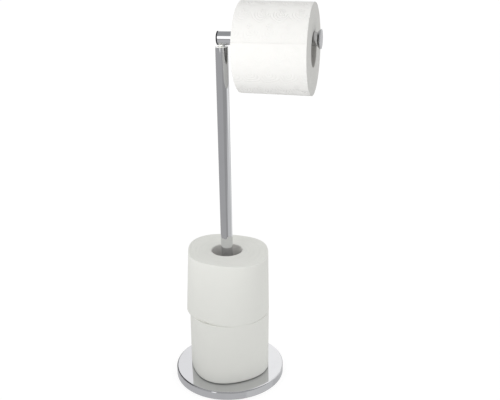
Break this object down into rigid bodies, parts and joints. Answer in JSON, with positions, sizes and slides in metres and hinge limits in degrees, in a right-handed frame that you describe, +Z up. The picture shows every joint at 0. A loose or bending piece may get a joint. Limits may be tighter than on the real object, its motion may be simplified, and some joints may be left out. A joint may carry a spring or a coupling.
{
  "type": "freestanding toilet roll holder",
  "caption": "Weighted round base with an upright tube, a swivelling lift-off arm with an end knob, a paper roll on the arm and spare rolls stacked on the pole.",
  "frame": {"origin": "middle of the pad's underside, on the floor, below the pole", "axes": "+Z up along the pole, +X along the arm from the pole to the knob at rest"},
  "size_m": [0.2238, 0.171, 0.5766],
  "materials": {
    "chrome": "polished",
    "zinc_steel": "satin",
    "cast_base": "matte",
    "base_pad": "matte",
    "nylon": "satin",
    "tissue": "matte",
    "core_board": "matte"
  },
  "bodies": {
    "stand": {"base_pad": "base_pad", "base_weight": "cast_base", "base_cover": "chrome", "base_screw": "zinc_steel", "pole_tube": "chrome", "pole_foot_insert": "zinc_steel", "pole_cap": "nylon"},
    "swivel_bush": {"swivel_bush": "nylon"},
    "arm": {"arm_spigot": "zinc_steel", "arm_saddle": "nylon", "arm_tube": "chrome", "arm_rear_plug": "cast_base", "knob_insert": "zinc_steel", "knob_stud": "zinc_steel", "end_knob": "chrome"},
    "hanging_roll": {"hanging_roll_paper": "tissue", "hanging_roll_core": "core_board"},
    "lower_spare_roll": {"lower_spare_paper": "tissue", "lower_spare_core": "core_board"},
    "upper_spare_roll": {"upper_spare_paper": "tissue", "upper_spare_core": "core_board"}
  },
  "joints": [
    {"name": "arm_swivel", "type": "hinge", "parent": "stand", "child": "swivel_bush", "pos_m": [0, 0, 0.5015], "axis": [0, 0, 1], "continuous": true},
    {"name": "arm_lift", "type": "slide", "parent": "swivel_bush", "child": "arm", "axis": [0, 0, 1], "range_m": [0, 0.045]},
    {"name": "roll_spin", "type": "hinge", "parent": "arm", "child": "hanging_roll", "pos_m": [0.0789, 0, 0.513], "axis": [1, 0, 0], "continuous": true},
    {"name": "lower_spare_lift", "type": "slide", "parent": "stand", "child": "lower_spare_roll", "axis": [0, 0, 1], "range_m": [0, 0.11]},
    {"name": "upper_spare_lift", "type": "slide", "parent": "lower_spare_roll", "child": "upper_spare_roll", "axis": [0, 0, 1], "range_m": [0, 0.12]}
  ]
}
